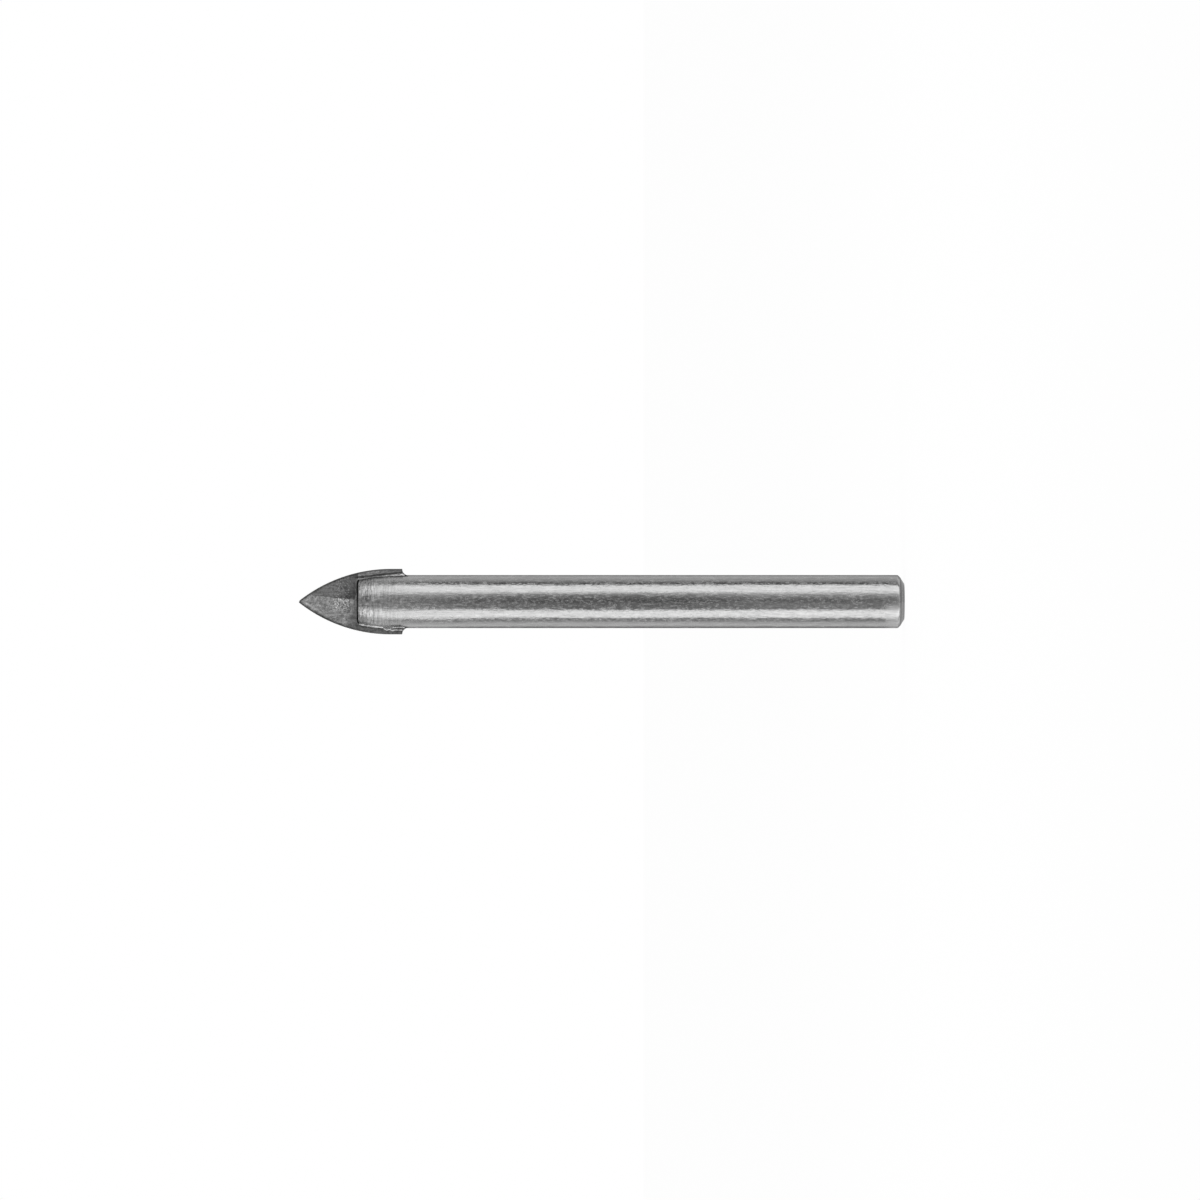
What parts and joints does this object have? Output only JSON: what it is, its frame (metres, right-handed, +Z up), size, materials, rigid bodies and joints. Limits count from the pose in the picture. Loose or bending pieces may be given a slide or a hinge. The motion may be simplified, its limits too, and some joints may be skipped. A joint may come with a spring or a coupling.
{
  "type": "glass and tile drill bit",
  "caption": "Spear-point drill bit for glass and tile: a flat carbide tip brazed into the forked end of a plain round steel shank.",
  "frame": {"origin": "centre of the flat rear face of the shank, on the axis of the bit", "axes": "+Z up along the axis, so the bit stands on the rear face of its shank with the point up; X across the width of the tip; Y square to the broad faces of the tip, with -Y the face that the picture shows"},
  "size_m": [0.0062, 0.005, 0.057],
  "materials": {
    "shank_steel": "drawn steel bar, lightly streaked along its length, ground across at the fork",
    "carbide": "dark grey tungsten carbide, ground facets behind each cutting edge and a grainy face before it",
    "silver_solder": "bright silver solder, as it flowed"
  },
  "bodies": {
    "root": {"shank": "shank_steel", "carbide_tip": "carbide", "braze": "silver_solder"}
  },
  "joints": []
}
